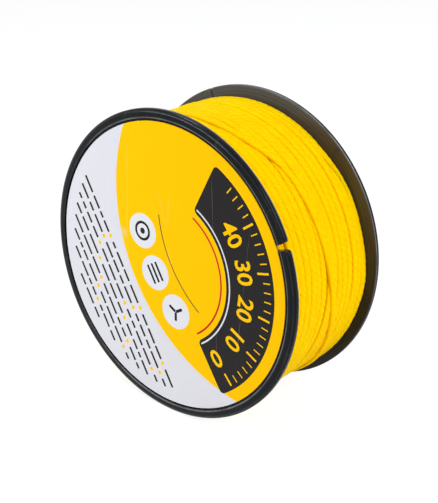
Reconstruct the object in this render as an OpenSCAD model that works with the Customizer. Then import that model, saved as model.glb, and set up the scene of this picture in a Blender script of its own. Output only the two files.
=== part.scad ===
// Flanged spool of twisted building line.
// The spool's axis lies along Y and its front looks towards -Y; the origin is the middle of the spool.

/* [Spool] */
// Outer diameter of both flanges
flange_d = 80; // [70:0.5:110]
// Overall width over the two rims
spool_w = 34.8; // [29:0.1:50]

/* [Flanges] */
// Thickness of a flange's web
web_t = 1.3; // [1:0.1:3.6]
// Depth of the round recess inside the rim
recess_depth = 0.5; // [0.4:0.1:1.2]
// Radial width of the raised rim
rim_w = 2.4; // [1.6:0.1:4]
// Round on the rim's outer front corner
rim_round = 1; // [0.4:0.1:1.1]
// Round on the rim's edge beside the winding
rim_back_round = 0.3; // [0.2:0.05:0.6]
// Round on the rim's inner lip
lip_round = 0.3; // [0.1:0.05:0.4]

/* [Line notches] */
// Depth of each notch, from the flange's outer edge
notch_depth = 5.2; // [2:0.1:8]
// Width of a notch at its floor
notch_floor_w = 0.8; // [0.6:0.1:1.2]
// Width of a notch where its mouth begins to round over
notch_mouth_w = 1.6; // [1.2:0.1:3]
// Round on both corners of a notch's mouth
notch_corner_r = 0.7; // [0.3:0.1:1.2]
// Place of the front flange's notch, anticlockwise from +X, seen from the front
front_notch_deg = 22.6; // [0:0.1:359]
// Place of the rear flange's notch, anticlockwise from +X, seen from the front
rear_notch_deg = 111.2; // [0:0.1:359]

/* [Bore and spigots] */
// Diameter of the bore that a spindle goes through
bore_d = 16; // [10:0.5:22]
// Lead-in chamfer at each end of the bore
bore_chamfer = 0.6; // [0.3:0.1:1]
// Wall of the sleeve round the bore
sleeve_wall = 1.8; // [1.2:0.1:3]
// Gap between the two flanges' sleeves, at the middle of the spool
sleeve_gap = 0.4; // [0.2:0.1:1]
// Wall of the spigot that carries the drum
spigot_wall = 1.6; // [1.2:0.1:2.4]
// Length of a spigot
spigot_l = 6; // [4:0.5:9]
// Gap all round between a spigot and the drum
spigot_clearance = 0.1; // [0.05:0.05:0.3]
// Radius of the snap bead round a spigot
snap_r = 0.3; // [0.2:0.05:0.5]
// Room between a snap bead and its groove
snap_clearance = 0.1; // [0.05:0.05:0.2]
// Ribs between a sleeve and its spigot
rib_count = 6; // [3:1:12]
// Thickness of a rib
rib_t = 1.4; // [1:0.1:2.4]
// Height of a rib above the web
rib_h = 5; // [2:0.5:5]

/* [Drum] */
// Outer diameter of the drum
drum_d = 44; // [38:0.5:52]
// Wall of the drum
drum_wall = 1.8; // [1.4:0.1:3]

/* [Label] */
// Thickness of the front label
label_t = 0.3; // [0.2:0.05:0.35]
// Gap all round between the label and the rim
label_clearance = 0.3; // [0.1:0.05:0.8]

/* [Line] */
// Height of one turn of the line, across the winding
line_h = 1.3; // [1:0.1:1.4]
// Width of one turn of the line, along the spool
line_w = 1.5; // [1.1:0.05:1.5]
// Distance from one outer turn to the next
turn_pitch = 1.98; // [1.92:0.02:2.6]
// Depth of the winding's surface below the flanges' outer edge
winding_below_rim = 2.4; // [1.8:0.1:6]
// Gap between the outer layer's end turns and the flanges: its shoulders
side_gap = 1.9; // [0.3:0.1:3]
// Radius at which the line turns down into the winding
dive_r = 1; // [0.9:0.1:1.5]
// Gap between the outer turns and the turns below
seat_gap = 0.1; // [0.05:0.05:0.3]
// Where the outer turns begin, anticlockwise from +X, seen from the front
turns_start_deg = 250; // [0:1:359]

/* [Hidden] */
$fn = 96;

flange_r = flange_d / 2;
half_w = spool_w / 2;
rim_t = recess_depth + web_t;
wall_r = flange_r - rim_w;
inner_w = spool_w - 2 * rim_t;
bore_r = bore_d / 2;
sleeve_r = bore_r + sleeve_wall;
drum_r = drum_d / 2;
drum_bore_r = drum_r - drum_wall;
spigot_r = drum_bore_r - spigot_clearance;
spigot_bore_r = spigot_r - spigot_wall;
snap_z = rim_t + 0.6 * spigot_l;
label_r = wall_r - label_clearance;

// the outer turns: a helix of straight steps, so its middle runs a little under its true radius
winding_r = flange_r - winding_below_rim;
turn_r = winding_r - line_h / 2;
rings_per_turn = 24;
sides = 6;
step_deg = 360 / rings_per_turn;
turns_room = inner_w - 2 * side_gap - line_w;
turns = min(24, floor(turns_room / turn_pitch));
turns_l = turns * turn_pitch;
core_r = turn_r * cos(step_deg / 2) - line_h / 2 - seat_gap;
dive_step_deg = 30;
dive_straight = line_w;
dive_end_r = turn_r - dive_r - dive_straight;
pocket_clearance = 0.25;
pocket_r = line_w / 2 + pocket_clearance;

// small overlap that fuses shapes of one moulding
fuse = 0.1;
// how far a cut runs past the face that it opens
past = 1;

function polar(r, deg, y) = [r * cos(deg), y, r * sin(deg)];
function unit(v) = v / norm(v);

// ---- flanges: drawn with the outer face at z = 0 and the winding towards +z ----

// removes a square corner at [x, z], leaving a round of radius r; sx and sz point into the material
module corner_cut(x, z, r, sx, sz) {
    translate([x, z])
        scale([sx, sz])
            difference() {
                translate([-past, -past]) square(r + past);
                translate([r, r]) circle(r);
                translate([r, -past - fuse]) square([past, r + past + fuse]);
                translate([-past - fuse, r]) square([r + past + fuse, past]);
            }
}

module rim_section() {
    difference() {
        translate([wall_r, 0]) square([rim_w, rim_t]);
        corner_cut(flange_r, 0, rim_round, -1, 1);
        corner_cut(flange_r, rim_t, rim_back_round, -1, -1);
        corner_cut(wall_r, 0, lip_round, 1, 1);
    }
}

module flange_section() {
    rim_section();
    translate([bore_r, recess_depth]) square([wall_r - bore_r + fuse, web_t]);
    translate([bore_r, recess_depth])
        square([sleeve_wall, half_w - sleeve_gap / 2 - recess_depth]);
    translate([spigot_bore_r, rim_t - fuse]) square([spigot_wall, spigot_l + fuse]);
    translate([spigot_r, snap_z]) circle(snap_r, $fn = 32);
}

// outline of a notch, its axis along +x; the mouth's corners are arcs
module notch_outline() {
    floor_r = flange_r - notch_depth;
    arc_x = flange_r - notch_corner_r;
    arc_y = notch_mouth_w / 2 + notch_corner_r;
    mouth = [
        for (a = [180:-15:90])
            [arc_x + notch_corner_r * sin(180 - a), arc_y + notch_corner_r * cos(a)]
    ];
    side = concat([[floor_r, notch_floor_w / 2]], mouth, [[flange_r + past, arc_y]]);
    polygon(concat(side, [for (i = [len(side) - 1:-1:0]) [side[i].x, -side[i].y]]));
}

module ribs() {
    for (i = [0:rib_count - 1])
        rotate(i * 360 / rib_count)
            translate([sleeve_r - fuse, -rib_t / 2, rim_t - fuse])
                cube([spigot_bore_r - sleeve_r + 2 * fuse, rib_t, rib_h + fuse]);
}

module flange_moulding() {
    difference() {
        union() {
            rotate_extrude() flange_section();
            ribs();
        }
        translate([0, 0, -past])
            linear_extrude(rim_t + 2 * past)
                notch_outline();
        translate([0, 0, recess_depth - fuse])
            cylinder(h = bore_chamfer + fuse, r1 = bore_r + bore_chamfer + fuse, r2 = bore_r);
    }
}

module front_flange() {
    color("#202226")
        translate([0, -half_w, 0])
            rotate([-90, 0, 0])
                rotate(-front_notch_deg)
                    flange_moulding();
}

module rear_flange() {
    color("#202226")
        translate([0, half_w, 0])
            rotate([90, 0, 0])
                rotate(rear_notch_deg)
                    flange_moulding();
}

// ---- drum: a plain tube that both spigots snap into ----

module drum() {
    color("#2b2d31")
        rotate([90, 0, 0])
            difference() {
                cylinder(h = inner_w, r = drum_r, center = true);
                cylinder(h = inner_w + 2 * past, r = drum_bore_r, center = true);
                for (side = [-1, 1])
                    translate([0, 0, side * (half_w - snap_z)])
                        rotate_extrude()
                            translate([spigot_r, 0])
                                circle(snap_r + snap_clearance, $fn = 32);
            }
}

// ---- label: a printed disc in the front flange's recess, over the end of the bore ----

module front_label() {
    color("#ffc903")
        translate([0, recess_depth - half_w, 0])
            rotate([90, 0, 0])
                cylinder(h = label_t, r = label_r);
}

// ---- line: the inner turns are one plain body, the outer turns are one unbroken tube ----

// end 0 is the first end of the helix and end 1 its last; the line dives the opposite way at each
function end_deg(end) = turns_start_deg + end * turns * 360;
function end_y(end) = (end == 0 ? -1 : 1) * turns_l / 2;

// a point of the dive: u along the winding's tangent, away from the helix, and v out from its middle line
function dive_point(end, u, v) =
    let (deg = end_deg(end), way = end == 0 ? -1 : 1)
    polar(turn_r + v, deg, end_y(end)) + way * u * [-sin(deg), 0, cos(deg)];

function dive(end) = concat(
    [dive_point(end, dive_r, -dive_r - dive_straight)],
    [
        for (a = [0:dive_step_deg:90 - dive_step_deg])
            dive_point(end, dive_r * cos(a), dive_r * (sin(a) - 1))
    ]
);

function reversed(list) = [for (i = [len(list) - 1:-1:0]) list[i]];

helix = [
    for (i = [0:turns * rings_per_turn])
        polar(turn_r, turns_start_deg + i * step_deg, turn_pitch * (i / rings_per_turn - turns / 2))
];
path = concat(dive(0), helix, reversed(dive(1)));

// a ring of the tube at point i: its width lies along the spool and its flats face in and out
function heading(i) =
    i == 0 ? unit(path[1] - path[0])
    : i == len(path) - 1 ? unit(path[i] - path[i - 1])
    : unit(unit(path[i + 1] - path[i]) + unit(path[i] - path[i - 1]));
function ring(i) =
    let (
        along = heading(i),
        across = unit([0, 1, 0] - along.y * along),
        up = cross(across, along),
        flat_h = line_h / 2 / sin(60)
    )
    [
        for (k = [0:sides - 1])
            path[i] + line_w / 2 * cos(60 * k) * across + flat_h * sin(60 * k) * up
    ];
rings = [for (i = [0:len(path) - 1]) ring(i)];

// least distance between points of the tube's surface that lie well apart along the line
apart = 7;
near = 4;
least_gap = min([
    for (i = [0:len(path) - 1 - apart])
        for (j = [i + apart:len(path) - 1])
            if (norm(path[i] - path[j]) < near)
                for (p = rings[i])
                    for (q = rings[j])
                        norm(p - q)
]);
echo(turns = turns, least_gap_mm = least_gap);

module tube(all_rings) {
    n = len(all_rings);
    last = (n - 1) * sides;
    points = [for (r = all_rings) for (p = r) p];
    skin = [
        for (i = [0:n - 2])
            for (k = [0:sides - 1])
                let (
                    a = i * sides + k,
                    b = i * sides + (k + 1) % sides
                )
                each [[a, b, b + sides], [a, b + sides, a + sides]]
    ];
    first_cap = [for (k = [1:sides - 2]) [0, k + 1, k]];
    last_cap = [for (k = [1:sides - 2]) [last, last + k, last + k + 1]];
    polyhedron(points, concat(skin, first_cap, last_cap), convexity = 4);
}

module line_outer_turns() {
    color("#ffd400") tube(rings);
}

module line_core() {
    color("#f2b600")
        difference() {
            rotate([90, 0, 0])
                difference() {
                    cylinder(h = inner_w, r = core_r, center = true);
                    cylinder(h = inner_w + 2 * past, r = drum_r, center = true);
                }
            for (end = [0, 1])
                let (way = end == 0 ? -1 : 1)
                translate([0, end_y(end), 0])
                    rotate([0, 90 - end_deg(end), 0])
                        translate([-way * dive_r, 0, dive_end_r])
                            cylinder(h = core_r - dive_end_r + past, r = pocket_r);
        }
}

front_flange();
rear_flange();
drum();
front_label();
line_core();
line_outer_turns();
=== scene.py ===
import math

import bpy
import numpy as np
from bpy.props import FloatProperty, FloatVectorProperty, IntProperty, PointerProperty
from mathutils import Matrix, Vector
from mathutils.geometry import delaunay_2d_cdt


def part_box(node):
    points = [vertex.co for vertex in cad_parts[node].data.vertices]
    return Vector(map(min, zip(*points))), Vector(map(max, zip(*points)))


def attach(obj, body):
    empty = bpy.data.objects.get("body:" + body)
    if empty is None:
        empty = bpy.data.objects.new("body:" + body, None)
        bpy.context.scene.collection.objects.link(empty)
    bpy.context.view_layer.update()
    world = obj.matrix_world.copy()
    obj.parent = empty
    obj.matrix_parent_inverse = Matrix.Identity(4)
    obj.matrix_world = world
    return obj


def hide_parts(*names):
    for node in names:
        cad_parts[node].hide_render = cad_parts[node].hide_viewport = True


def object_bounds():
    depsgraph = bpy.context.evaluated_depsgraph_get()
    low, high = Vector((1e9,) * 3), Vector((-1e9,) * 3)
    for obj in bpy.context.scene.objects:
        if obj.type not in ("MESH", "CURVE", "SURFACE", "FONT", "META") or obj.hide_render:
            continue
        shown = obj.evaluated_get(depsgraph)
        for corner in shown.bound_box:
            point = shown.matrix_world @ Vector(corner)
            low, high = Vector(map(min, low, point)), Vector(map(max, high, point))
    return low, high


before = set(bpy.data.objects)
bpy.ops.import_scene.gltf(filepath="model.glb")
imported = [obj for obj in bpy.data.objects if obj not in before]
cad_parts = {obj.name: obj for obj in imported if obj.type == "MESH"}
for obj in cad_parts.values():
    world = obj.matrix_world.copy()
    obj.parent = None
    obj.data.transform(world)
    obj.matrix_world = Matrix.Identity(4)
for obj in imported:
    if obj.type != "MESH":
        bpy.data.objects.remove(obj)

bl_info = {
    "name": "Builder's line spool",
    "version": (1, 0, 0),
    "blender": (4, 5, 0),
    "location": "3D View > Sidebar > Spool",
    "description": "Dresses the spool's packed solids: flanges, label, drum, wound line and stage",
    "category": "Object",
}

CAD_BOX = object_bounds()
MM = 0.001
FLANGE_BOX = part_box("front_flange")
LABEL_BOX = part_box("front_label")
DRUM_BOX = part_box("drum")
CORE_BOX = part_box("line_core")
TURN = 2 * math.pi


def length(name, description, default):
    """A size in metres that a user can change."""
    return FloatProperty(
        name=name, description=description, default=default, unit="LENGTH", precision=5
    )


def size(name, description, millimetres):
    """A size that a user can change, given here in millimetres."""
    return length(name, description, millimetres * MM)


def angle(name, description, degrees):
    """An angle that a user can change, given here in degrees."""
    return FloatProperty(
        name=name, description=description, default=math.radians(degrees), unit="ROTATION"
    )


def colour(name, description, default):
    """A colour that a user can change, in linear light."""
    return FloatVectorProperty(
        name=name, description=description, default=default, size=3, subtype="COLOR", min=0, max=1
    )


def number(name, description, default):
    """A plain number that a user can change."""
    return FloatProperty(name=name, description=description, default=default)


# ---- settings ----


class FlangeSettings(bpy.types.PropertyGroup):
    rim_radius: length("Rim radius", "Outside of each flange", FLANGE_BOX[1].x)
    half_width: length("Half width", "Middle of the spool to an outer face", -FLANGE_BOX[0].y)
    rim_width: size("Rim width", "Radial width of the raised rim", 2.4)
    web: size("Web", "Thickness of the flange's flat wall", 1.3)
    recess: size("Recess", "Depth of the label's recess", 0.5)
    rim_round: size("Rim round", "Depth of the curve from the rim's crown to its outside", 0.8)
    rim_curve: size("Rim curve", "Radial width of that curve", 1.4)
    back_round: size("Back round", "Round on the rim's corner towards the line", 0.3)
    lip_round: size("Lip round", "Round on the recess's lip", 0.3)
    bore_radius: size("Bore radius", "Radius of the bore", 8)
    bore_chamfer: size("Bore chamfer", "Chamfer at the bore's mouth", 0.6)
    sleeve_wall: size("Sleeve wall", "Wall of the sleeve round the bore", 1.8)
    sleeve_gap: size("Sleeve gap", "Gap between the two sleeves", 0.4)
    spigot_radius: size("Spigot radius", "Outside of the spigot in the drum", 20.1)
    spigot_wall: size("Spigot wall", "Wall of the spigot", 1.6)
    spigot_length: size("Spigot length", "Length of the spigot", 6)
    notch_depth: size("Notch depth", "Depth of the line notch", 5.2)
    notch_floor: size("Notch floor", "Width of the notch at its floor", 0.8)
    notch_mouth: size("Notch mouth", "Width of the notch where its corners begin", 1.6)
    notch_corner_up: size("Upper corner", "Round on the front notch's upper corner", 0.8)
    notch_corner_down: size("Lower corner", "Round on the front notch's lower corner", 1.3)
    notch_corner_rear: size("Rear corners", "Round on the rear notch's corners", 0.15)
    notch_mouth_rear: size("Rear mouth", "Width of the rear notch where its corners begin", 1.2)
    notch_edge: size("Notch edge", "Round along the notch's edges", 0.1)
    front_notch: angle("Front notch", "Place of the front notch, from the right, upwards", 22.6)
    rear_notch: angle("Rear notch", "Place of the rear notch, from the right, upwards", 111.2)
    plastic: colour("Plastic", "Colour of the moulded black plastic", (0.004, 0.004, 0.0045))
    # The next three colours are painted light: a sheen and a yellow reflection painted on the faces
    # towards the line, painted shade on their lower part and a painted highlight on their top
    painted_sheen: colour("Satin", "Colour of the faces towards the line", (0.077, 0.059, 0.026))
    painted_lower_shade: colour("Shaded", "Colour of the lower part of those faces", (0.022, 0.019, 0.013))
    painted_top_sheen: colour("Dust", "Colour of the dust on the upper part of those faces", (0.08, 0.08, 0.08))
    # painted highlight: the colour of the light lines along the flange's edges
    painted_edge_highlight: colour("Worn", "Colour of the worn edges", (0.14, 0.14, 0.142))
    # painted light: the rear notch's walls are paler to show the light that falls on them
    cut: colour("Cut", "Colour of the rear notch's dusty walls", (0.15, 0.155, 0.17))


class DrumSettings(bpy.types.PropertyGroup):
    plastic: colour("Plastic", "Colour of the drum", (0.012, 0.012, 0.013))


class LabelSettings(bpy.types.PropertyGroup):
    radius: length("Radius", "Radius of the label", LABEL_BOX[1].x - 0.24 * MM)
    yellow: colour("Yellow", "Yellow ground", (0.98, 0.54, 0.0))
    pale: colour("Pale", "Pale ground", (0.7, 0.69, 0.735))
    black: colour("Black", "Black ink", (0.012, 0.010, 0.010))
    white: colour("White", "White ink", (0.73, 0.73, 0.77))
    red: colour("Red", "Red ink", (0.55, 0.02, 0.02))
    edge: colour("Edge", "Colour of the label's cut edge", (0.5, 0.3, 0.02))


class LineSettings(bpy.types.PropertyGroup):
    width: size("Width", "Width of the line as it is laid", 1.88)
    height: size("Height", "Height of the line as it is laid", 1.24)
    spread: number("Spread", "How much wider the line is once its neighbours press on it", 1.19)
    fullness: number("Fullness", "Shape of the pressed line, from 2, an ellipse, to a box", 3.0)
    lay: size("Lay", "Length in which a strand goes once round the line", 5.4)
    half_width: length("Half width", "Half the winding's width", CORE_BOX[1].y)
    top_radius: size("Top radius", "Radius of the winding's outside", 37.8)
    drum_radius: length("Drum radius", "Outside of the drum", DRUM_BOX[1].x)
    turns: IntProperty(name="Turns", description="Turns in a full layer", default=15)
    outer_turns: IntProperty(name="Outer turns", description="Turns in the outer layer", default=13)
    shoulder: size("Shoulder", "How far the outer layer stops short of each flange", 1.9)
    layers: IntProperty(
        name="Layers", description="Layers that are laid one by one", default=5, min=3
    )
    jog: angle("Jog", "Place round the spool where each turn begins to step aside", 125)
    jog_share: number("Jog share", "Share of a turn over which it steps aside", 0.58)
    jitter: size("Jitter", "How unevenly the outer layer's turns are spaced", 0.13)
    press: size("Press", "How far the crossing turn sinks into the others", 0.95)
    wander: size("Wander", "How far a turn strays before it settles", 0.35)
    bank: size("Bank", "How much higher the lower layers stand beside the front flange", 0.9)
    swell: size("Swell", "How far a turn rises and falls along its length", 0.06)
    seed: IntProperty(name="Seed", description="Seed of the winding's chance", default=11)
    yellow: colour("Yellow", "Colour of the line", (1.0, 0.625, 0.0))


class StageSettings(bpy.types.PropertyGroup):
    floor: length("Floor", "Height of the floor", CAD_BOX[0].z)
    distance: size("Distance", "Camera to the spool's middle", 275.7)
    azimuth: angle("Azimuth", "Camera's place round the spool", 41.06)
    elevation: angle("Elevation", "Camera's height above the horizon", 21.95)
    lens: number("Lens", "Focal length in millimetres", 76.18)
    world: number("World", "Strength of the light from all round", 0.36)
    paper: number("Floor's own white", "Share of plain white that the floor shows the camera", 0.86)


# ---- meshes ----


def add_piece(name, mesh, materials, nodes, sharp_degrees=35):
    """Puts a mesh into the scene as a piece that rides on the body and stands for CAD nodes."""
    for material in materials:
        mesh.materials.append(material)
    mesh.shade_smooth()
    if sharp_degrees:
        mesh.set_sharp_from_angle(angle=math.radians(sharp_degrees))
    piece = bpy.data.objects.new(name, mesh)
    bpy.context.scene.collection.objects.link(piece)
    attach(piece, "root")
    if nodes:
        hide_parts(*nodes)
    return piece


def mesh_from(name, points, faces):
    """A mesh from points and faces. The faces' own order says which way they look."""
    mesh = bpy.data.meshes.new(name)
    mesh.from_pydata(np.asarray(points, float).tolist(), [], faces)
    mesh.validate()
    return mesh


def strips(first, second, closed=False):
    """Quads between two equal rows of point numbers."""
    first, second = np.asarray(first), np.asarray(second)
    ahead_1, ahead_2 = np.roll(first, -1), np.roll(second, -1)
    quads = np.stack([first, ahead_1, ahead_2, second], 1)
    return (quads if closed else quads[:-1]).tolist()


def smoothstep(x):
    """0 up to 0, 1 from 1, and a smooth rise between them."""
    x = np.clip(x, 0, 1)
    return x * x * (3 - 2 * x)


# ---- materials ----


class Finish:
    """A node material, or a world's nodes, built in few words."""

    def __init__(self, name, owner=None):
        self.material = owner or bpy.data.materials.new(name)
        self.material.use_nodes = True
        self.nodes = self.material.node_tree.nodes
        self.links = self.material.node_tree.links
        self.nodes.clear()

    def put(self, kind, sockets=None, **settings):
        """Adds a node and sets it up. A socket takes a value or another node's output."""
        node = self.nodes.new("ShaderNode" + kind)
        for key, value in settings.items():
            setattr(node, key, value)
        for key, value in (sockets or {}).items():
            if isinstance(value, bpy.types.NodeSocket):
                self.links.new(value, node.inputs[key])
            else:
                node.inputs[key].default_value = value
        return node

    def math(self, operation, *values):
        return self.put("Math", dict(enumerate(values)), operation=operation).outputs[0]

    def times(self, first, second):
        return self.math("MULTIPLY", first, second)

    def scaled(self, vector, by):
        """A vector or colour, each part multiplied by the other's."""
        return self.put("VectorMath", {0: vector, 1: by}, operation="MULTIPLY").outputs[0]

    def span(self, value, low, high, new_low=0.0, new_high=1.0):
        """Maps a value from low..high to new_low..new_high, held at both ends."""
        sockets = {"Value": value, 1: low, 2: high, 3: new_low, 4: new_high}
        return self.put("MapRange", sockets).outputs[0]

    def band(self, value, middle, reach):
        """1 where a value is at the middle, down to 0 at the given reach from it."""
        away = self.math("ABSOLUTE", self.math("SUBTRACT", value, middle))
        return self.span(away, 0.0, reach, 1.0, 0.0)

    def mix(self, share, *colours):
        """A colour between two colours."""
        first, second = (
            c if isinstance(c, bpy.types.NodeSocket) else (*c[:3], 1) for c in colours
        )
        return self.put("Mix", {0: share, 6: first, 7: second}, data_type="RGBA").outputs[2]

    def noise(self, vector, scale, detail=3.0, roughness=0.5):
        sockets = {"Vector": vector, "Scale": scale, "Detail": detail, "Roughness": roughness}
        return self.put("TexNoise", sockets).outputs[0]

    def bump(self, height, depth, normal=None):
        """A bump of the given depth in metres."""
        sockets = {"Height": height, "Strength": 1.0, "Distance": depth}
        if normal is not None:
            sockets["Normal"] = normal
        return self.put("Bump", sockets).outputs[0]

    def place(self):
        """A point's place in the spool's own frame, in millimetres."""
        return self.scaled(self.put("TexCoord").outputs["Object"], (1 / MM, 1 / MM, 1 / MM))

    def surface(self, sockets):
        shader = self.put("BsdfPrincipled", sockets)
        self.put("OutputMaterial", {0: shader.outputs[0]})
        return self.material


def scuffs(f, place, turn, stretch, cell, width):
    """Thin straight scratches along one direction, 1 on a scratch."""
    aim = {"Vector": place, "Rotation": turn, "Scale": (1.0, 1.0, stretch)}
    cells = {"Vector": f.put("Mapping", aim).outputs[0], "Scale": 1 / cell, "Randomness": 1.0}
    edge = f.put("TexVoronoi", cells, feature="DISTANCE_TO_EDGE").outputs["Distance"]
    return f.span(edge, 0.0, width, 1.0, 0.0)


def flange_tones(f, body, s, radius, height, right, up, marks, cloud):
    """The flange's painted light over its body colour: a painted sheen on the inner face, with
    rings, painted highlights along the edges in wear-like patches, and painted shade in the corner
    beside the label. Places are in millimetres from the spool's middle."""
    rim, half = s.rim_radius / MM, s.half_width / MM
    wall = rim - s.rim_width / MM
    back = half - (s.recess + s.web) / MM
    outside = f.span(height, back + 0.5, back + 0.7)
    inside_face = f.span(height, back + 0.05, back + 0.15, 1.0, 0.0)
    # the inner face's colour is a painted sheen with a painted yellow reflection; painted shade
    # darkens its lower part and a painted highlight makes its top paler
    painted_inner_light = f.mix(f.span(up, -10.0, 20.0), s.painted_lower_shade, s.painted_sheen)
    painted_inner_light = f.mix(f.span(up, 27.0, 39.0), painted_inner_light, s.painted_top_sheen)
    rings = f.span(marks, 0.3, 0.7, 0.7, 1.3)
    rings = f.put("CombineXYZ", {0: rings, 1: rings, 2: rings}).outputs[0]
    base = f.mix(inside_face, body, f.scaled(painted_inner_light, rings))
    # painted highlights in wear-like patches: the recess's lip, stronger towards the right, the
    # rim's outside and, palest, the inner face's outer edge, paler towards the top
    patchy = f.span(cloud, 0.4, 0.6, 0.45, 1.0)
    lip = f.times(f.band(radius, wall + 0.25, 0.3), outside)
    lip = f.times(lip, f.span(right, -34.0, -14.0, 0.15, 1.2))
    outer = f.times(f.band(radius, rim - 0.55, 0.3), outside)
    painted_edge_highlight = f.math("MAXIMUM", lip, f.times(outer, 0.15))
    base = f.mix(f.times(painted_edge_highlight, patchy), base, s.painted_edge_highlight)
    inner = f.times(f.band(height, back + 0.3, 0.2), f.span(radius, rim - 0.3, rim - 0.15))
    inner = f.times(inner, f.span(up, -10.0, 6.0, 0.1, 1.0))
    painted_inner_edge_highlight = tuple(c * 2.6 for c in s.painted_edge_highlight)
    base = f.mix(f.times(inner, patchy), base, painted_inner_edge_highlight)
    # painted shade: near black in the corner of the label's recess
    corner = f.times(f.span(radius, wall - 0.02, wall + 0.05, 1.0, 0.0), outside)
    corner = f.times(corner, f.span(radius, wall - 1.2, wall - 0.8))
    return f.mix(corner, base, (0.001, 0.001, 0.001))


def black_plastic(name, tone, roughness=0.19, flange=None):
    """Moulded black plastic: semi-gloss, with a fine skin and light handling scuffs. A flange also
    gets tool marks that run round, painted highlights along its edges, a painted sheen with painted
    shade on its inner face, and painted shade in the label's corner."""
    f = Finish(name)
    place = f.place()
    right, along, up = f.put("SeparateXYZ", {0: place}).outputs
    across = f.put("CombineXYZ", {0: right, 2: up}).outputs[0]
    radius = f.put("VectorMath", {0: across}, operation="LENGTH").outputs["Value"]
    height = f.math("ABSOLUTE", along)
    cloud = f.noise(place, 0.12, 4, 0.6)
    skin = f.noise(place, 3.2, 5, 0.65)
    grain = f.noise(place, 16, 2, 0.5)
    tool = {"W": radius, "Scale": 2.6, "Detail": 4, "Roughness": 0.7}
    marks = f.put("TexNoise", tool, noise_dimensions="1D").outputs[0]
    long_ones = scuffs(f, place, (0.3, 0.2, 0.5), 0.16, 9, 0.012)
    long_ones = f.times(long_ones, f.span(cloud, 0.52, 0.66))
    short_ones = scuffs(f, place, (1.1, 0.7, 2.1), 0.2, 6, 0.010)
    short_ones = f.times(short_ones, f.span(f.noise(place, 0.2, 2), 0.55, 0.7))
    scratch = f.math("MAXIMUM", long_ones, short_ones)
    light = tuple(min(1, c * 2.2 + 0.03) for c in tone)
    dim = tuple(c * 0.72 for c in tone)
    body = f.mix(f.span(cloud, 0.35, 0.65), dim, tone)
    if flange:
        body = flange_tones(f, body, flange, radius, height, right, up, marks, cloud)
    rough = f.span(skin, 0.3, 0.7, roughness - 0.05, roughness + 0.07)
    normal = f.bump(skin, 0.012 * MM)
    normal = f.bump(grain, 0.002 * MM, normal)
    if flange:
        normal = f.bump(marks, 0.008 * MM, normal)
    return f.surface({
        "Base Color": f.mix(f.times(scratch, 0.8), body, light),
        "Roughness": f.math("ADD", rough, f.times(scratch, 0.15)),
        "Normal": f.bump(f.math("SUBTRACT", 1.0, scratch), 0.006 * MM, normal),
        "Specular IOR Level": 0.14,
        "Specular Tint": (0.75, 0.88, 1.0, 1),
    })


def printed(name, ink, gloss=0.38, level=0.02):
    """Printed film: flat ink with a faint mottle, under a thin matt skin with a few hairlines."""
    f = Finish(name)
    place = f.place()
    mottle = f.noise(place, 1.6, 6, 0.7)
    cloud = f.noise(place, 0.05, 3, 0.5)
    weave = f.noise(place, 9, 3, 0.6)
    hair = scuffs(f, place, (0.2, 0.4, 1.3), 0.12, 12, 0.006)
    hair = f.times(hair, f.span(f.noise(place, 0.1, 2), 0.5, 0.68))
    dim = tuple(c * 0.94 for c in ink)
    light = tuple(min(1, c * 1.03) for c in ink)
    base = f.mix(f.times(f.math("ADD", mottle, cloud), 0.5), dim, light)
    return f.surface({
        "Base Color": f.mix(f.times(hair, 0.25), base, (0.6, 0.6, 0.6)),
        "Roughness": f.span(weave, 0.3, 0.7, gloss - 0.04, gloss + 0.08),
        "Normal": f.bump(cloud, 0.25 * MM, f.bump(weave, 0.003 * MM)),
        "Specular IOR Level": level,
    })


def line_fibre(name, yellow):
    """Twisted synthetic line: fine filaments that run with the strands, hardly glossy, and painted
    orange as shade in its grooves and on its underside. The attribute lie is the place along the
    line, round it, and the strand."""
    f = Finish(name)
    lie = f.put("Attribute", attribute_name="lie").outputs["Vector"]
    groove = f.put("Attribute", attribute_name="groove").outputs["Fac"]
    threads = f.noise(f.scaled(lie, (0.35, 9.0, 1.0)), 1.0, 4, 0.6)
    slub = f.noise(f.scaled(lie, (0.9, 1.2, 1.0)), 1.0, 3, 0.55)
    drift = f.noise(f.scaled(lie, (0.05, 0.0, 1.0)), 1.0, 2, 0.5)
    deeper = tuple(c * k for c, k in zip(yellow, (1.0, 0.86, 1.0)))
    body = f.mix(f.span(f.math("ADD", threads, f.times(drift, 0.6)), 0.5, 1.1), deeper, yellow)
    return f.surface({
        # painted shade: orange in the grooves and on the underside
        "Base Color": f.mix(groove, body, (1.0, 0.42, 0.0)),
        "Roughness": f.span(threads, 0.3, 0.7, 0.5, 0.66),
        "Normal": f.bump(slub, 0.07 * MM, f.bump(threads, 0.05 * MM)),
        "Specular IOR Level": 0.02,
        "Specular Tint": (1.0, 0.8, 0.02, 1),
        "Subsurface Weight": 0.65,
        "Subsurface Radius": (0.3, 0.5, 0.02),
        "Subsurface Scale": 1.5 * MM,
    })


# ---- flanges ----

DRAFT = 0.03 * MM  # how far the lip's foot stands off the recess's wall
INNER_CHAMFER = 0.4 * MM  # on the ends of the sleeve and the spigot
RECESS_ROWS = 3  # rows of a flange's outer part that lie in the label's recess
FLANGE_STEPS = 360


def notch_half_angle(radius, s, corner, mouth):
    """Half the notch's width at a radius, as an angle, with one mouth corner's round."""
    floor_radius = s.rim_radius - s.notch_depth
    arc_radius = s.rim_radius - corner
    share = np.clip((radius - floor_radius) / (arc_radius - floor_radius), 0, 1)
    half = (s.notch_floor + (mouth - s.notch_floor) * share) / 2
    out = np.clip(radius - arc_radius, 0, corner)
    half = half + corner - np.sqrt(corner**2 - out**2)
    return half / radius


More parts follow.
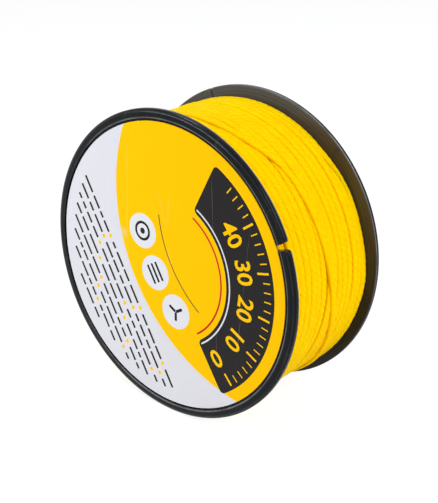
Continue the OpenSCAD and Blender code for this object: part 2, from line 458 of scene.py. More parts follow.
def rim_rows(s):
    """Rows across the notched part of a flange: each a radius, a depth and a normal, on the outer
    side and on the side towards the line."""
    rim, curve, back, lip = s.rim_round, s.rim_curve, s.back_round, s.lip_round
    floor_radius = s.rim_radius - s.notch_depth
    wall = s.rim_radius - s.rim_width
    lip_steps = np.radians(np.arange(0, 91, 15))
    bend_steps = np.radians((0, 12, 24, 36, 48, 60, 69, 77, 84, 90))
    rise = [wall + DRAFT + lip * (1 - math.cos(a)) for a in lip_steps]
    bend = [s.rim_radius - curve * (1 - math.sin(a)) for a in bend_steps]
    flat = [rise[-1] + (bend[0] - rise[-1]) * k for k in (0.33, 0.67)]
    radius = np.array([floor_radius, (floor_radius + wall) / 2, wall, *rise, *flat, *bend])
    depth = s.recess + s.web
    front = np.empty((len(radius), 4))
    rear = np.empty((len(radius), 4))
    for row, r in enumerate(radius):
        if row < RECESS_ROWS:
            z, nr, nz = s.recess, 0.0, 0.0
        elif r < wall + DRAFT + lip:
            out = wall + DRAFT + lip - r
            z = lip - math.sqrt(max(0, lip**2 - out**2))
            nr, nz = -out / lip, -(lip - z) / lip
        elif r <= s.rim_radius - curve:
            z, nr, nz = 0.0, 0.0, -1.0
        else:
            out = (r - (s.rim_radius - curve)) / curve
            z = rim - rim * math.sqrt(max(0, 1 - out**2))
            nr, nz = out / curve, -(rim - z) / rim**2
            nr, nz = nr / math.hypot(nr, nz), nz / math.hypot(nr, nz)
        front[row] = r, z, nr, nz
        out = max(0.0, r - (s.rim_radius - back))
        z = depth - back + math.sqrt(max(0, back**2 - out**2))
        nr, nz = (out / back, (z - depth + back) / back) if row >= RECESS_ROWS else (0.0, 0.0)
        rear[row] = r, z, nr, nz
    return front, rear


def body_profile(s):
    """Radius and depth round the flange's body: in over the recess, through the bore, and out over
    the sleeve, the spigot and the wall. Rings in the flat parts keep the faces short."""
    depth = s.recess + s.web
    bore, sleeve = s.bore_radius, s.bore_radius + s.sleeve_wall
    sleeve_end = s.half_width - s.sleeve_gap / 2
    spigot, spigot_in = s.spigot_radius, s.spigot_radius - s.spigot_wall
    spigot_end = depth + s.spigot_length
    c = INNER_CHAMFER
    return (
        *((r * MM, s.recess) for r in (34, 24, 14)),
        (bore + s.bore_chamfer, s.recess), (bore, s.recess + s.bore_chamfer),
        (bore, sleeve_end - c), (bore + c, sleeve_end),
        (sleeve - c, sleeve_end), (sleeve, sleeve_end - c), (sleeve, depth),
        (spigot_in, depth), (spigot_in, spigot_end),
        (spigot - c, spigot_end), (spigot, spigot_end - c), (spigot, depth),
        (28 * MM, depth),
    )


def flange_mesh(name, s, notch, side):
    """One flange. Depth runs from its outer face, and side is -1 at the front and 1 at the rear."""
    front, rear = rim_rows(s)
    edge = s.notch_edge
    fillet = np.radians((0, 22.5, 45, 67.5, 90))
    ends = [(edge * (1 - math.cos(a)), edge * (1 - math.sin(a))) for a in fillet]
    shares = np.linspace(0, 1, FLANGE_STEPS + 1)[1:-1]
    sections = [(0.0, u, d) for u, d in ends]
    sections += [(share, 0.0, 0.0) for share in shares]
    sections += [(1.0, -u, d) for u, d in reversed(ends)]
    radius = front[:, 0]
    corners, mouth = (s.notch_corner_up, s.notch_corner_down), s.notch_mouth
    if side > 0:
        corners, mouth = (s.notch_corner_rear,) * 2, s.notch_mouth_rear
    start = notch + notch_half_angle(radius, s, corners[0], mouth)
    end = notch + TURN - notch_half_angle(radius, s, corners[1], mouth)
    points, faces = [], []

    def put(r, a, z):
        points.append((r * math.cos(a), side * (s.half_width - z), r * math.sin(a)))
        return len(points) - 1

    grid = np.empty((2, len(sections), len(radius)), int)
    for k, (share, shift, inset) in enumerate(sections):
        turn = start + (end - start) * share + shift / radius
        for i, a in enumerate(turn):
            for j, (r, z, nr, nz) in enumerate((front[i], rear[i])):
                grid[j, k, i] = put(r - nr * inset, a, z - nz * inset)
    near, far = grid
    faces += strips(far[0], near[0])
    faces += strips(near[-1], far[-1])
    walls = len(faces)
    for i in range(len(radius) - 1):
        faces += strips(near[:, i], near[:, i + 1])
        faces += strips(far[:, i + 1], far[:, i])
    faces += strips(near[:, -1], far[:, -1])

    # the floor of the notch, then the body inside it
    angles = np.linspace(end[0] - TURN, start[0], 6)[1:-1]
    floors = [[put(radius[0], a, z) for a in angles] for z in (s.recess, s.recess + s.web)]
    faces += strips(*([g[-1, 0], *floor, g[0, 0]] for g, floor in zip(grid, floors)))
    rings = [np.append(g[:, 0], floor) for g, floor in zip(grid, floors)]
    where = np.array([points[k] for k in rings[0]])
    around = np.arctan2(where[:, 2], where[:, 0])
    previous = rings[0]
    for r, z in body_profile(s):
        ring = np.array([put(r, a, z) for a in around])
        faces += strips(ring, previous, True)
        previous = ring
    faces += strips(rings[1], previous, True)
    if side > 0:
        faces = [f[::-1] for f in faces]
    mesh = mesh_from(name, points, faces)
    # at the rear, the notch's end walls take the second material, which paints light on them
    if side > 0:
        cut = [int(k < walls) for k in range(len(mesh.polygons))]
        mesh.polygons.foreach_set("material_index", cut)
    return mesh


class SPOOL_OT_flanges(bpy.types.Operator):
    """Makes the two moulded flanges, with rims, label recesses, notches, sleeves and spigots"""

    bl_idname = "spool.flanges"
    bl_label = "Flanges"

    def execute(self, context):
        s = context.scene.spool_flanges
        plastic = black_plastic("moulded_black_plastic", s.plastic, flange=s)
        # the rear notch's walls get a paler plastic, which is painted light
        cut = black_plastic("notch_black_plastic", s.cut, 0.4)
        for node, notch, side in (
            ("front_flange", s.front_notch, -1), ("rear_flange", s.rear_notch, 1)
        ):
            name = node + "_moulding"
            mesh = flange_mesh(name, s, notch, side)
            add_piece(name, mesh, [plastic, cut], [node], 32)
        return {"FINISHED"}


# ---- drum ----


class SPOOL_OT_drum(bpy.types.Operator):
    """Finishes the drum's own solid in plain black plastic"""

    bl_idname = "spool.drum"
    bl_label = "Drum"

    def execute(self, context):
        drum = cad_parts["drum"]
        plastic = black_plastic("drum_black_plastic", context.scene.spool_drum.plastic, 0.5)
        if drum.material_slots:
            for place in drum.material_slots:
                place.material = plastic
        else:
            drum.data.materials.append(plastic)
        return {"FINISHED"}


# ---- label ----

YELLOW, PALE, BLACK, WHITE, RED, EDGE = range(6)

# the print, in millimetres and degrees
TILT = -60  # the way that the ruled lines run
DISC_MIDDLE, DISC_RADIUS = 34, 46.5  # the large yellow circle, which leaves the pale side free
SCALE_INNER, SCALE_OUTER, SCALE_TOP = 19.5, 34, 33
SCALE_FIRST, TICK_STEP, TICKS_PER_FIGURE = -50, 4.2, 5
FIGURE_DISTANCE, FIGURE_SIZE = 25.2, 6.4
MARK_PLACES, MARK_DISTANCE, MARK_RADIUS = (193.5, 210, 226.5), 38.6, 4.6
ARC_FIRST, ARC_LAST, ARC_OUTER, ARC_INNER = 186, 234, 32.1, 31.8
RULED_ROWS, RULED_FIRST, RULED_STEP = 8, -15.4, 2.5
RULED_MARGIN, DASH_HEIGHT, DOT_RADIUS, DOT_EVERY = 3.4, 0.72, 0.55, 13


def circle(x, y, radius, count=64):
    return [
        (x + radius * math.cos(TURN * k / count), y + radius * math.sin(TURN * k / count))
        for k in range(count)
    ]


def polar(radius, degrees):
    """A point at a radius and an angle in degrees."""
    a = math.radians(degrees)
    return radius * math.cos(a), radius * math.sin(a)


def ring_part(inner, outer, start, end, corner=0.0):
    """A part of a ring between two angles in degrees, its corners rounded."""
    count = max(2, int(abs(end - start) / 2))
    if not corner:
        turns = np.linspace(start, end, count + 1)
        return [polar(outer, a) for a in turns] + [polar(inner, a) for a in reversed(turns)]
    points = []
    bends = [math.radians(90 * k / 3) for k in range(3)]
    for radius, first, last, inward in ((outer, start, end, -1), (inner, end, start, 1)):
        shift = math.degrees(corner / radius) * (1 if last > first else -1)
        round_off = [
            (radius + inward * corner * (1 - math.sin(b)), shift * (1 - math.cos(b))) for b in bends
        ]
        points += [polar(r, first + a) for r, a in round_off]
        points += [polar(radius, a) for a in np.linspace(first + shift, last - shift, count + 1)]
        points += [polar(r, last - a) for r, a in reversed(round_off)]
    return points


def bar(x, y, wide, high, turn=0.0, corner=0.0):
    """A bar with its middle at x, y, turned by an angle in degrees."""
    c, s = polar(1, turn)
    r = min(corner, wide / 2, high / 2)
    base = []
    for sx, sy, start in ((1, 1, 0), (-1, 1, 90), (-1, -1, 180), (1, -1, 270)):
        for k in range(4 if r > 0 else 1):
            dx, dy = polar(r, start + 30 * k)
            base.append((sx * (wide / 2 - r) + dx, sy * (high / 2 - r) + dy))
    return [(x + px * c - py * s, y + px * s + py * c) for px, py in base]


def figures(text, x, y, size, turn):
    """The faces of plain figures, their middle at x, y, turned by an angle in degrees."""
    curve = bpy.data.curves.new("figures", "FONT")
    curve.body = text
    curve.size = size
    curve.align_x = curve.align_y = "CENTER"
    curve.resolution_u = 3
    curve.offset = 0.02 * size
    holder = bpy.data.objects.new("figures", curve)
    mesh = holder.to_mesh()
    c, s = polar(1, turn)
    flat = [(x + v.co.x * c - v.co.y * s, y + v.co.x * s + v.co.y * c) for v in mesh.vertices]
    found = [[flat[k] for k in p.vertices] for p in mesh.polygons]
    holder.to_mesh_clear()
    bpy.data.objects.remove(holder)
    bpy.data.curves.remove(curve)
    return found


def inside(points, shape):
    """Which of the points lie inside a closed outline."""
    found = np.zeros(len(points), bool)
    x, y = points[:, 0], points[:, 1]
    for (x1, y1), (x2, y2) in zip(shape, shape[1:] + shape[:1]):
        if y1 != y2:
            crosses = (y1 > y) != (y2 > y)
            found ^= crosses & (x < (x2 - x1) * (y - y1) / (y2 - y1) + x1)
    return found


def scale_art():
    """A black scale with ticks, plain figures and two arcs inside it."""
    art = [(ring_part(SCALE_INNER, SCALE_OUTER, -58, 62, 1.2), BLACK)]
    art.append((ring_part(20.3, 20.7, -56, 60), WHITE))
    for k in range(25):
        a = SCALE_FIRST + k * TICK_STEP
        inner, wide = (31, 0.3) if k % TICKS_PER_FIGURE else (29.6, 0.55)
        x, y = polar((inner + SCALE_TOP) / 2, a)
        art.append((bar(x, y, SCALE_TOP - inner, wide, a), YELLOW))
    for k, text in enumerate(("0", "10", "20", "30", "40")):
        a = SCALE_FIRST + k * TICK_STEP * TICKS_PER_FIGURE
        faces = figures(text, *polar(FIGURE_DISTANCE, a), FIGURE_SIZE, a - 90)
        art += [(face, YELLOW) for face in faces]
    art.append((ring_part(17.6, 18.1, -56, 60), RED))
    return art


def mark_art(x, y, k):
    """A round white mark with a plain shape: rings, three lines, or three spokes."""
    art = [(circle(x, y, MARK_RADIUS, 48), WHITE)]
    if k == 0:
        for radius, count, ink in ((2.6, 40, BLACK), (1.9, 40, WHITE), (0.8, 24, BLACK)):
            art.append((circle(x, y, radius, count), ink))
    elif k == 1:
        c, s = polar(1, TILT)
        art += [(bar(x - s * d, y + c * d, 5.2, 0.7, TILT, 0.2), BLACK) for d in (-1.5, 0, 1.5)]
    else:
        for a in (30, 150, 270):
            dx, dy = polar(1.3, a)
            art.append((bar(x + dx, y + dy, 2.4, 0.8, a, 0.3), BLACK))
    return art


def ruled_art(radius, middle):
    """Ruled lines of uneven dashes on the pale side, with a yellow dot now and then."""
    art = []
    chance = np.random.default_rng(5)
    c, s = polar(1, TILT)
    for row in range(RULED_ROWS):
        v = RULED_FIRST - row * RULED_STEP
        reach = math.sqrt(max(0, (radius - RULED_MARGIN) ** 2 - v * v))
        u = -reach
        since = 0.0
        while u < reach - 1:
            dot = since > DOT_EVERY
            wide = 0.9 if dot else min(float(chance.uniform(1.6, 5.5)), reach - u)
            mid = u + wide / 2
            x, y = mid * c - v * s, mid * s + v * c
            if math.dist((x, y), middle) > DISC_RADIUS + 2.5 and wide > 0.8:
                dash = bar(x, y, wide, DASH_HEIGHT, TILT, 0.12)
                art.append((circle(x, y, DOT_RADIUS, 20), YELLOW) if dot else (dash, BLACK))
            gap = 1.3 if dot else float(chance.uniform(0.6, 1.0))
            since = 0.0 if dot else since + wide + gap
            u += wide + gap
    return art


def label_art(radius):
    """The print, bottom to top, in millimetres, as outlines with their inks."""
    mx, my = polar(DISC_MIDDLE, TILT + 90)

    def beside(distance, degrees):
        """A place at a distance from the large circle's middle."""
        x, y = polar(distance, degrees)
        return mx + x, my + y

    art = [(circle(0, 0, radius + 2, 120), PALE), (circle(mx, my, DISC_RADIUS, 160), YELLOW)]
    # thin arc between the scale and the marks
    arc = [beside(ARC_OUTER, a) for a in np.linspace(ARC_FIRST, ARC_LAST, 25)]
    arc += [beside(ARC_INNER, a) for a in np.linspace(ARC_LAST, ARC_FIRST, 25)]
    art.append((arc, BLACK))
    art += scale_art()
    for k, a in enumerate(MARK_PLACES):
        art += mark_art(*beside(MARK_DISTANCE, a), k)
    return art + ruled_art(radius, (mx, my))


def label_mesh(name, s):
    """The label as one thin solid, its front cut into the printed fields."""
    radius = s.radius / MM
    art = [(circle(0, 0, radius, 240), YELLOW), *label_art(radius)]
    spots, edges = [], []
    for shape, _ in art:
        first = len(spots)
        spots += [Vector(p) for p in shape]
        edges += [(first + k, first + (k + 1) % len(shape)) for k in range(len(shape))]
    found, _, fields, _, _, _ = delaunay_2d_cdt(spots, edges, [], 0, 1e-4, False)
    place = np.array(found)
    middles = place[np.array(fields)].mean(1)
    kinds = np.full(len(fields), -1)
    for shape, ink in art:
        kinds[inside(middles, shape)] = ink
    kept = inside(middles, art[0][0])
    front = [list(face) for face, keep in zip(fields, kept) if keep]
    kinds = kinds[kept].tolist()
    used = {}
    front = [[used.setdefault(k, len(used)) for k in face] for face in front]
    count = len(used)
    points = [(found[k].x * MM, corner.y, found[k].y * MM) for corner in LABEL_BOX for k in used]
    # the edges that only one field has run round the outside
    border = {}
    for face in front:
        for a, b in zip(face, face[1:] + face[:1]):
            if border.pop((b, a), None) is None:
                border[(a, b)] = True
    back = [[k + count for k in reversed(face)] for face in front]
    wall = [[b, a, a + count, b + count] for a, b in border]
    mesh = bpy.data.meshes.new(name)
    mesh.from_pydata(points, [], front + back + wall)
    mesh.polygons.foreach_set("material_index", kinds + [EDGE] * (len(back) + len(wall)))
    mesh.validate()
    return mesh


class SPOOL_OT_label(bpy.types.Operator):
    """Makes the round label in the front recess, with a plain printed design"""

    bl_idname = "spool.label"
    bl_label = "Label"

    def execute(self, context):
        s = context.scene.spool_label
        inks = [
            printed("label_yellow", s.yellow), printed("label_pale", s.pale),
            printed("label_black", s.black, 0.3, 0.12), printed("label_white", s.white),
            printed("label_red", s.red), printed("label_cut_edge", s.edge, 0.6, 0.1),
        ]
        mesh = label_mesh("printed_label", s)
        add_piece("printed_label", mesh, inks, ["front_label"], 30)
        return {"FINISHED"}


# ---- wound line ----

STEPS = 480  # places worked out in each turn
CELL = 0.1  # millimetres between the columns across the winding
EMPTY = -1e9  # a height that nothing reaches
STIFFNESS = 60  # cost of sliding further aside from one place to the next
PULL = 0.4  # cost of lying beside the planned place
NESTING = 0.87  # share of the line's height that a layer adds
CLEARANCE = 0.03  # millimetres between the line and a flange
WAVER = 0.03  # how unevenly the turns begin to step aside, as a share of a turn
BRIDGE = 8  # places that a taut line bridges on each side of a hump
BRIDGE_FALL = 0.02  # millimetres that it comes down from one of them to the next
SINK = 0.08  # millimetres that it sinks into what it lies on
TUCK = 0.04  # share of a turn over which an end of the line dives under
END_DIP, START_DIP = 1.5, 1.0  # millimetres that the ends dive
BANK_REACH, BANK_SLOPE = 1.6, 0.5  # millimetres from the front flange over which the bank falls
DRUM_GAP = 0.02  # millimetres between the drum and the lowest layer
# painted shade: the grooves and the line's underside are painted orange
GROOVE_SHADE, LOW_SHADE = 0.27, 0.5  # how orange the grooves and the line's underside are

# the last turns: turns since they began, and their place across the spool in millimetres. The line
# first lies in the rear shoulder, then crosses back over the others to the front shoulder.
CROSSING = (
    (0.3, 13.8), (0.45, 14.5), (0.66, 14.4), (0.72, 13.8), (0.8, 12.4), (0.9, 11.6), (1.0, 11.0),
    (1.3, 10.3), (1.48, 9.5), (1.54, 7.2), (1.585, 4.6), (1.65, 0.3), (1.69, -0.9), (1.745, -1.8),
    (1.79, -2.8), (1.825, -6.0), (1.87, -8.2), (1.95, -10.2), (2.2, -13.2), (2.4, -14.0),
)
CROSSING_TURNS = 3
FREE_END = 0.5  # how much of the last turn is left off
# how hard those turns press into the others: turns since they began, and share of the full press
PRESSING = (
    (0.4, 0.0), (0.5, -0.3), (0.57, -0.25), (0.64, 0.0), (0.7, 1.0), (1.3, 1.0), (1.45, 0.5),
)

# a strand in the line's section: degrees, height as a share of the line's, and 1 in the groove
STRAND = ((0, 1.0, 0), (28, 0.987, 0), (60, 0.925, 1), (92, 0.98, 0))
STRAND_SIZES = (1.0, 0.98, 1.01)


def drifting(chance, count, knots, size):
    """A smooth random row of count values with the given number of knots."""
    values = chance.normal(0, size, knots + 3)
    place = np.arange(count) * (knots / count)
    k = np.floor(place).astype(int)
    t = place - k
    a, b, c, d = (values[np.minimum(k + step, knots + 2)] for step in range(4))
    return ((1 - t) ** 3 * a + (3 * t**3 - 6 * t**2 + 4) * b
            + (-3 * t**3 + 3 * t**2 + 3 * t + 1) * c + t**3 * d) / 6


def crown(share):
    """The section's height over its middle, as a share of half the line's height, at a share of its
    half width."""
    return np.sqrt(np.clip(1 - share**2, 0, 1))


def blurred(values, reach):
    """A row of values, smoothed along its length."""
    span = int(3 * reach)
    kernel = np.exp(-0.5 * (np.arange(-span, span + 1) / reach) ** 2)
    return np.convolve(np.pad(values, span, mode="edge"), kernel / kernel.sum(), "valid")


def plan_turns(s, chance, half, room):
    """Where the line is aimed across the spool, place by place, how far it is pressed in, and the
    first turn of each layer."""
    pitch = 2 * room / (s.turns - 1)
    seats = []
    for layer in range(s.layers - 1):
        offset = layer % 2
        row = -room + pitch * (np.arange(s.turns - offset) + offset / 2)
        seats.append(row[::-1] if offset else row)
    edge = half - s.shoulder / MM - s.width / MM / 2
    row = np.linspace(-edge, edge, s.outer_turns)
    row[1:-1] += chance.uniform(-1, 1, s.outer_turns - 2) * s.jitter / MM
    cross_turn, cross_to = zip(*CROSSING)
    seats.append(np.append(row, [cross_to[-1]] * CROSSING_TURNS))
    starts = np.cumsum([0] + [len(row) for row in seats])
    seats = np.concatenate(seats)
    turn = np.arange(len(seats) * STEPS) / STEPS
    whole = turn.astype(int)
    late = chance.normal(0, WAVER, len(seats))[whole]
    before = seats[np.maximum(whole - 1, 0)]
    aim = before + (seats[whole] - before) * smoothstep((turn - whole - WAVER + late) / s.jog_share)
    since = turn - (len(seats) - CROSSING_TURNS)
    crossing = since >= 0
    aim[crossing] = blurred(np.interp(since[crossing], (0, *cross_turn), (edge, *cross_to)), 6)
    press = s.press / MM * np.interp(since, *zip(*PRESSING))
    aim = aim + drifting(chance, len(turn), len(seats) * 3, s.wander / MM)
    return np.clip(aim, -room, room), press, starts


def resting_heights(top, rises):
    """How high the line's middle lies over each column when it rests on what is there."""
    reach, count = len(rises) // 2, top.shape[1]
    padded = np.pad(top, ((0, 0), (reach, reach)), constant_values=EMPTY)
    return np.max([padded[:, k : k + count] + rise for k, rise in enumerate(rises)], axis=0)


def best_slides(cost, slides, last_slide):
    """How far aside to lie at each place of a turn, so that the cost of the whole turn is least."""
    sway = (slides[:, None] - slides[None]) ** 2 * STIFFNESS
    best = (slides - last_slide) ** 2 * STIFFNESS + cost[0]
    came = np.zeros(cost.shape, int)
    for i in range(1, len(cost)):
        paths = best[None] + sway
        came[i] = paths.argmin(1)
        best = paths.min(1) + cost[i]
    pick = int(best.argmin())
    slide = np.empty(len(cost))
    for i in reversed(range(len(cost))):
        slide[i] = slides[pick]
        pick = came[i, pick]
    return blurred(slide, 5)


def pulled_taut(held):
    """The line's heights along a turn once it is pulled tight: it bridges dips between humps."""
    hump = held.copy()
    for k in range(1, BRIDGE + 1):
        beside = np.maximum(np.roll(held, k), np.roll(held, -k)) - BRIDGE_FALL * k
        hump = np.maximum(hump, beside)
    return blurred(0.5 * held + 0.5 * np.maximum(blurred(hump, 5), held) - SINK, 2.5)


def lay_line(s):
    """Lays the line turn by turn over what lies below: each turn slides into the valleys, and is
    pulled taut over the humps. Gives the line's places across the spool and its radii, the outside
    of the layers under the last two, its columns' places, and the first turn of each layer."""
    wide, high = s.width / MM, s.height / MM
    half = s.half_width / MM
    room = half - wide * s.spread / 2 - CLEARANCE
    columns = np.arange(-half, half + CELL / 2, CELL)
    chance = np.random.default_rng(s.seed)
    aim, press, starts = plan_turns(s, chance, half, room)
    reach = int(wide / 2 / CELL)
    rises = high / 2 * crown(2 * np.arange(-reach, reach + 1) * CELL / wide)
    ground = s.top_radius / MM - s.layers * high * NESTING
    top = np.full((STEPS, len(columns)), ground)
    top += drifting(chance, STEPS, 8, 0.08)[:, None]
    slides = np.arange(-8, 9) * CELL
    where, radius = np.empty(len(aim)), np.empty(len(aim))
    slide = np.zeros(STEPS)
    rows = np.arange(STEPS)
    for t in range(starts[-1]):
        if t == starts[-3]:
            under = top.copy()
        part = slice(t * STEPS, (t + 1) * STEPS)
        rest = resting_heights(top, rises)
        tries = aim[part][:, None] + slides[None]
        spot = np.clip(np.round((tries + half) / CELL).astype(int), 0, len(columns) - 1)
        cost = rest[rows[:, None], spot]
        cost = cost - cost.min() + PULL * slides[None] ** 2 + (np.abs(tries) > room + 1e-6) * 1e3
        slide = best_slides(cost, slides, slide[-1])
        y = np.clip(aim[part] + slide, -room, room)
        at = (y + half) / CELL
        low = np.clip(np.floor(at).astype(int), 0, len(columns) - 2)
        held = rest[rows, low] * (1 - (at - low)) + rest[rows, low + 1] * (at - low)
        middle = pulled_taut(held) + drifting(chance, STEPS, 14, s.swell / MM) - press[part]
        gap = columns[None] - y[:, None]
        dome = middle[:, None] + high / 2 * crown(2 * gap / wide)
        top = np.where(np.abs(gap) < wide / 2, np.maximum(top, dome), top)
        where[part], radius[part] = y, middle
    # joins between turns, smoothed over, and the outside brought to its radius
    lift = s.top_radius / MM - np.percentile(top, 75)
    return blurred(where, 2.0), blurred(radius, 3.0) + lift, under + lift, columns, starts


def line_mesh(name, s, where, radius, first):
    """A run of the line as a closed tube with three twisted strands. Places are in millimetres, and
    first is the run's first step round the spool."""
    count = len(where)
    turn = s.jog + TURN * (np.arange(count) + first) / STEPS
    out = np.stack([np.cos(turn), np.zeros(count), np.sin(turn)], 1)
    middle = out * radius[:, None]
    middle[:, 1] = where
    ahead = np.gradient(middle, axis=0)
    run = np.linalg.norm(ahead, axis=1)
    ahead = ahead / run[:, None]
    out = out - ahead * (out * ahead).sum(1)[:, None]
    out = out / np.linalg.norm(out, axis=1)[:, None]
    side = np.cross(ahead, out)
    distance = np.cumsum(run)
    chance = np.random.default_rng(s.seed + first)
    twist = -TURN * distance / (s.lay / MM) + drifting(chance, count, count // 40 + 2, 0.5)
    bulk = 1 + drifting(chance, count, count // 30 + 2, 0.05)
    ring = [(math.radians(a) + TURN * k / len(STRAND_SIZES), share * size, groove)
            for k, size in enumerate(STRAND_SIZES) for a, share, groove in STRAND]
    sides = len(ring)
    points = np.empty((count, sides, 3))
    painted_shade_share = np.empty((count, sides))
    half_w, half_h = s.width * s.spread / MM / 2, s.height / MM / 2
    power = 2 / s.fullness
    for j, (a, share, in_groove) in enumerate(ring):
        up, across = np.cos(twist + a), np.sin(twist + a)
        # painted shade: the strands' grooves and the underside of the section are marked to be
        # painted orange
        low = np.clip((0.5 - up) * 1.2, 0, LOW_SHADE)
        painted_shade_share[:, j] = np.maximum(GROOVE_SHADE * in_groove, low)
        up, across = np.sign(up) * np.abs(up) ** power, np.sign(across) * np.abs(across) ** power
        points[:, j] = (middle + out * (up * half_h * share * bulk)[:, None]
                        + side * (across * half_w * share * (2 - bulk))[:, None])
    grid = np.arange(count * sides).reshape(count, sides)
    nxt = np.roll(grid, -1, axis=1)
    quads = np.stack([grid[:-1], nxt[:-1], nxt[1:], grid[1:]], -1).reshape(-1, 4)
    caps = [grid[0, ::-1].tolist(), grid[-1].tolist()]
    mesh = mesh_from(name, points.reshape(-1, 3) * MM, quads.tolist() + caps)
    # for the fibre: the place along the line, round it, and a number of its own for each strand
    number_round = np.arange(sides)
    lie = np.empty((count, sides, 3))
    lie[..., 0] = distance[:, None]
    lie[..., 1] = np.abs(number_round - sides / 2)[None] * 0.4
    lie[..., 2] = (number_round // len(STRAND))[None] * 7.3 + (first % 97)
    for key, kind, field, values in (
        ("lie", "FLOAT_VECTOR", "vector", lie), ("groove", "FLOAT", "value", painted_shade_share)
    ):
        attribute = mesh.attributes.new(key, kind, "POINT")
        attribute.data.foreach_set(field, values.astype(np.float32).ravel())
    return mesh


def under_mesh(name, s, under, columns):
    """The layers under the last two as one closed body, its outside shaped by the turns laid there.
    Every second step and every third column is kept."""
    places = columns[::3] if (len(columns) - 1) % 3 == 0 else np.append(columns[::3], columns[-1])
    picks = np.round((places - columns[0]) / CELL).astype(int)
    bank = s.bank / MM * smoothstep((BANK_REACH - places + places[0]) / BANK_SLOPE)
    rings = under[::2, picks] + bank
    steps, count = rings.shape
    turn = s.jog + TURN * np.arange(steps) / steps
    inner = np.full((steps, 2), s.drum_radius / MM + DRUM_GAP)
    radius = np.hstack([rings, inner])
    across = np.concatenate([places, places[-1:], places[:1]])
    points = np.stack(np.broadcast_arrays(
        radius * np.cos(turn)[:, None], across, radius * np.sin(turn)[:, None]
    ), -1) * MM
    grid = np.arange(points.size // 3).reshape(steps, count + 2)
    faces = []
    for j in range(count + 2):
        faces += strips(grid[:, j], grid[:, (j + 1) % (count + 2)], True)
    return mesh_from(name, points.reshape(-1, 3), faces)


class SPOOL_OT_line(bpy.types.Operator):
    """Lays the line, and makes the two outer layers and one body of what lies under them"""

    bl_idname = "spool.line"
    bl_label = "Wound line"

    def execute(self, context):
        s = context.scene.spool_line
        fibre = line_fibre("line_fibre", s.yellow)
        where, radius, under, columns, starts = lay_line(s)
        begin, middle = int(starts[-3]) * STEPS, int(starts[-2]) * STEPS
        # the free end tucks in between its neighbours, on the side away from the notches
        last = len(where) - int(FREE_END * STEPS)
        where, radius = where[:last], radius[:last]
        count = int(TUCK * STEPS)
        dive = smoothstep(np.arange(count) / count)
        radius[-count:] -= END_DIP * dive
        radius[begin : begin + count] -= START_DIP * (1 - dive)
        for name, nodes, part in (
            ("line_outer_layer", ["line_outer_turns"], slice(middle, last)),
            ("line_second_layer", [], slice(begin, middle + 1)),
        ):
            mesh = line_mesh(name, s, where[part], radius[part], part.start)
            add_piece(name, mesh, [fibre], nodes, 0)
        body = under_mesh("line_lower_layers", s, under, columns)
        add_piece("line_lower_layers", body, [fibre], ["line_core"], 0)
        return {"FINISHED"}


# ---- stage ----

CAMERA_AIM = Vector((1.434, 0.925, -0.607)) * MM  # a place near the spool's middle
FLOOR_REACH = 4.0  # metres from the middle to each side


def direction(azimuth, elevation):
    """Unit vector from the spool towards a place round it, from the front to the right and up."""
    flat = math.cos(elevation)
    return Vector((math.sin(azimuth) * flat, -math.cos(azimuth) * flat, math.sin(elevation)))


def add_aimed(name, data, aim, towards, distance):
    """A camera or lamp that looks at a place from a direction and a distance."""
    holder = bpy.data.objects.new(name, data)
    holder.location = aim + towards * distance
    holder.rotation_mode = "QUATERNION"
    holder.rotation_quaternion = (-towards).to_track_quat("-Z", "Y")
    bpy.context.scene.collection.objects.link(holder)
    return holder


def add_lamp(name, azimuth, elevation, distance, wide, tall, power, tint):
    """A soft lamp that faces the spool. Angles are in degrees, sizes in metres, power in watts."""
    lamp = bpy.data.lights.new(name, "AREA")
    lamp.shape = "RECTANGLE"
    lamp.size = wide
    lamp.size_y = tall
    lamp.energy = power
    lamp.color = tint
    towards = direction(math.radians(azimuth), math.radians(elevation))
    add_aimed(name, lamp, Vector(), towards, distance)


def seen_directly(f):
    """1 for what the camera, a gloss or a clear material shows, 0 for all other light."""
    path = f.put("LightPath")
    seen = f.math("MAXIMUM", path.outputs["Is Camera Ray"], path.outputs["Is Glossy Ray"])
    return f.math("MAXIMUM", seen, path.outputs["Is Transmission Ray"])


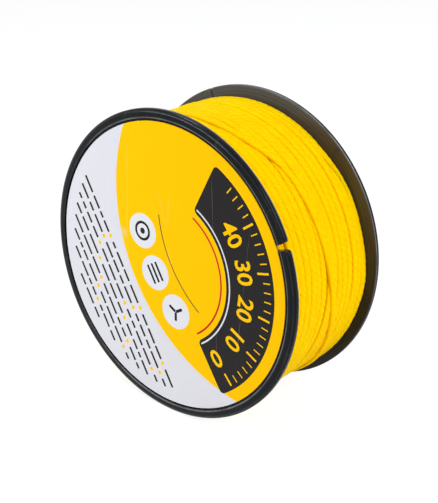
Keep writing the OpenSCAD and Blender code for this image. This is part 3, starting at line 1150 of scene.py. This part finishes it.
class SPOOL_OT_stage(bpy.types.Operator):
    """Makes the camera, the pale floor, the lamps and the world"""

    bl_idname = "spool.stage"
    bl_label = "Stage"

    def execute(self, context):
        scene = context.scene
        s = scene.spool_stage
        scene.view_settings.view_transform = "Standard"
        camera = bpy.data.cameras.new("camera")
        camera.lens = s.lens
        back = direction(s.azimuth, s.elevation)
        scene.camera = add_aimed("camera", camera, CAMERA_AIM, back, s.distance)

        world = bpy.data.worlds.new("studio")
        f = Finish("studio", world)
        soft = f.put("Background", {"Color": (0.95, 0.98, 1.0, 1), "Strength": s.world})
        plain = f.put("Background", {"Color": (1, 1, 1, 1), "Strength": 1.0})
        blend = f.put("MixShader", {0: seen_directly(f), 1: soft.outputs[0], 2: plain.outputs[0]})
        f.put("OutputWorld", {"Surface": blend.outputs[0]})
        scene.world = world

        add_lamp("key_lamp", -50, 60, 0.5, 0.1, 0.1, 1.0, (1.0, 0.99, 0.98))
        add_lamp("low_lamp", -31, 18, 0.28, 0.16, 0.02, 0.24, (0.9, 0.95, 1.0))
        add_lamp("side_lamp", 82, 35, 0.9, 0.5, 0.5, 5.8, (1.0, 1.0, 1.0))

        # the floor: pale paper that takes shadows, and shows the camera mostly its own white
        f = Finish("floor_white")
        seen = seen_directly(f)
        cloud = f.noise(f.place(), 0.01, 3, 0.5)
        pale = f.mix(cloud, (0.84, 0.84, 0.84), (0.88, 0.88, 0.88))
        faint = f.mix(cloud, (0.24, 0.24, 0.24), (0.25, 0.25, 0.25))
        paper = f.put("BsdfDiffuse", {"Color": f.mix(seen, pale, faint)})
        glow = f.put("Emission", {"Color": (1, 1, 1, 1), "Strength": f.times(seen, s.paper)})
        both = f.put("AddShader", {0: paper.outputs[0], 1: glow.outputs[0]})
        f.put("OutputMaterial", {"Surface": both.outputs[0]})
        mesh = bpy.data.meshes.new("floor")
        ends = ((-1, -1), (1, -1), (1, 1), (-1, 1))
        corners = [(x * FLOOR_REACH, y * FLOOR_REACH, s.floor) for x, y in ends]
        mesh.from_pydata(corners, [], [(0, 1, 2, 3)])
        mesh.materials.append(f.material)
        floor = bpy.data.objects.new("floor", mesh)
        scene.collection.objects.link(floor)
        return {"FINISHED"}


# ---- panel ----

# the scene's groups of settings, each with its operator
PARTS = {
    "spool_stage": (StageSettings, SPOOL_OT_stage),
    "spool_flanges": (FlangeSettings, SPOOL_OT_flanges),
    "spool_drum": (DrumSettings, SPOOL_OT_drum),
    "spool_label": (LabelSettings, SPOOL_OT_label),
    "spool_line": (LineSettings, SPOOL_OT_line),
}


class SPOOL_PT_panel(bpy.types.Panel):
    """Lists the spool's pieces with their sizes and colours"""

    bl_idname = "SPOOL_PT_panel"
    bl_label = "Builder's line spool"
    bl_space_type = "VIEW_3D"
    bl_region_type = "UI"
    bl_category = "Spool"

    def draw(self, context):
        for key, (group, operator) in PARTS.items():
            box = self.layout.box()
            box.operator(operator.bl_idname)
            for field in group.__annotations__:
                box.prop(getattr(context.scene, key), field)


def register():
    for key, (group, operator) in PARTS.items():
        bpy.utils.register_class(group)
        setattr(bpy.types.Scene, key, PointerProperty(type=group))
        bpy.utils.register_class(operator)
    bpy.utils.register_class(SPOOL_PT_panel)


def unregister():
    bpy.utils.unregister_class(SPOOL_PT_panel)
    for key, (group, operator) in PARTS.items():
        bpy.utils.unregister_class(operator)
        delattr(bpy.types.Scene, key)
        bpy.utils.unregister_class(group)


def main():
    register()
    bpy.ops.spool.stage()
    bpy.ops.spool.flanges()
    bpy.ops.spool.drum()
    bpy.ops.spool.label()
    bpy.ops.spool.line()


if __name__ == "__main__":
    main()
